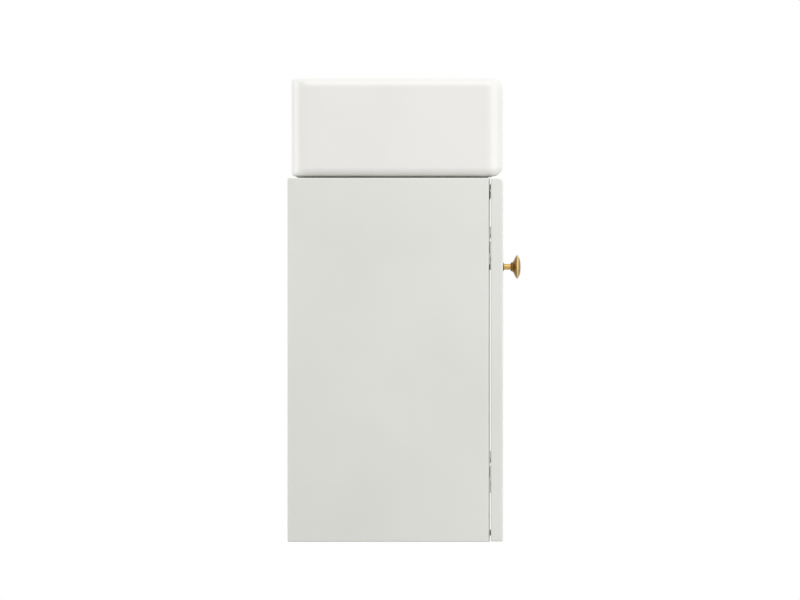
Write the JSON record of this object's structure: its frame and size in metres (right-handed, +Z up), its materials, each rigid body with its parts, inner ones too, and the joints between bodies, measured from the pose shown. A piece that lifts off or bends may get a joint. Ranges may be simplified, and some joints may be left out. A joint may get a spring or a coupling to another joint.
{
  "type": "wall-hung vanity unit",
  "caption": "Compact wall-hung bathroom cabinet with a hinged door, a round turned knob, a notched shelf and a rectangular ceramic basin on top.",
  "frame": {"origin": "centre of the four screw holes in the two wall plates, on the wall's face", "axes": "+X right as seen from the front, +Y into the wall, +Z up"},
  "size_m": [0.4, 0.3165, 0.6304],
  "materials": {
    "ceramic": "white glaze, gloss",
    "sealant": "white silicone, satin",
    "chrome": "bright chrome plate",
    "rubber": "black rubber, matt",
    "nut_brass": "bare brass, satin",
    "lacquer": "board with pale grey-green lacquer, satin",
    "melamine": "board with a pale melamine face, matt",
    "beech": "bare beech",
    "zinc": "nickel-plated zinc casting, satin",
    "steel": "nickel-plated steel, satin",
    "galvanised": "galvanised steel, dull",
    "knob_brass": "turned brass, polished",
    "soft_plastic": "clear soft plastic",
    "white_plastic": "white plastic, satin",
    "magnet": "dark ferrite between steel poles"
  },
  "bodies": {
    "cabinet": {"basin": "ceramic", "basin_sealant": "sealant", "overflow_ring": "chrome", "waste_body": "chrome", "waste_gasket": "rubber", "waste_washer": "rubber", "waste_nut": "nut_brass", "side_panel_left": "lacquer", "side_panel_right": "lacquer", "top_panel": "melamine", "bottom_panel": "melamine", "rear_rail": "melamine", "back_panel": "melamine", "shelf": "melamine", "shelf_pins": "steel", "dowels": "beech", "cam_locks": "zinc", "cam_bolts": "steel", "hinge_arm_upper": "steel", "hinge_arm_lower": "steel", "hinge_plate_upper": "zinc", "hinge_plate_lower": "zinc", "plate_screws": "steel", "arm_screws": "steel", "catch_body": "white_plastic", "catch_magnet": "magnet", "catch_screws": "steel", "hanger_housing_left": "white_plastic", "hanger_housing_right": "white_plastic", "hanger_hook_left": "galvanised", "hanger_hook_right": "galvanised", "hanger_screws": "steel", "wall_plate_left": "galvanised", "wall_plate_right": "galvanised"},
    "door": {"door": "lacquer", "knob": "knob_brass", "knob_screw": "steel", "door_bumpers": "soft_plastic", "hinge_cup_upper": "steel", "hinge_cup_lower": "steel", "hinge_pin_upper": "steel", "hinge_pin_lower": "steel", "cup_screws": "steel", "catch_strike": "steel", "strike_screw": "steel"},
    "plug": {"waste_plug": "chrome", "plug_seal": "rubber"}
  },
  "joints": [
    {"name": "door_swing", "type": "hinge", "parent": "cabinet", "child": "door", "pos_m": [-0.1925, -0.286, 0], "axis": [0, 0, -1], "range_deg": [0, 100]},
    {"name": "plug_travel", "type": "slide", "parent": "cabinet", "child": "plug", "axis": [0, 0, 1], "range_m": [0, 0.008]}
  ]
}
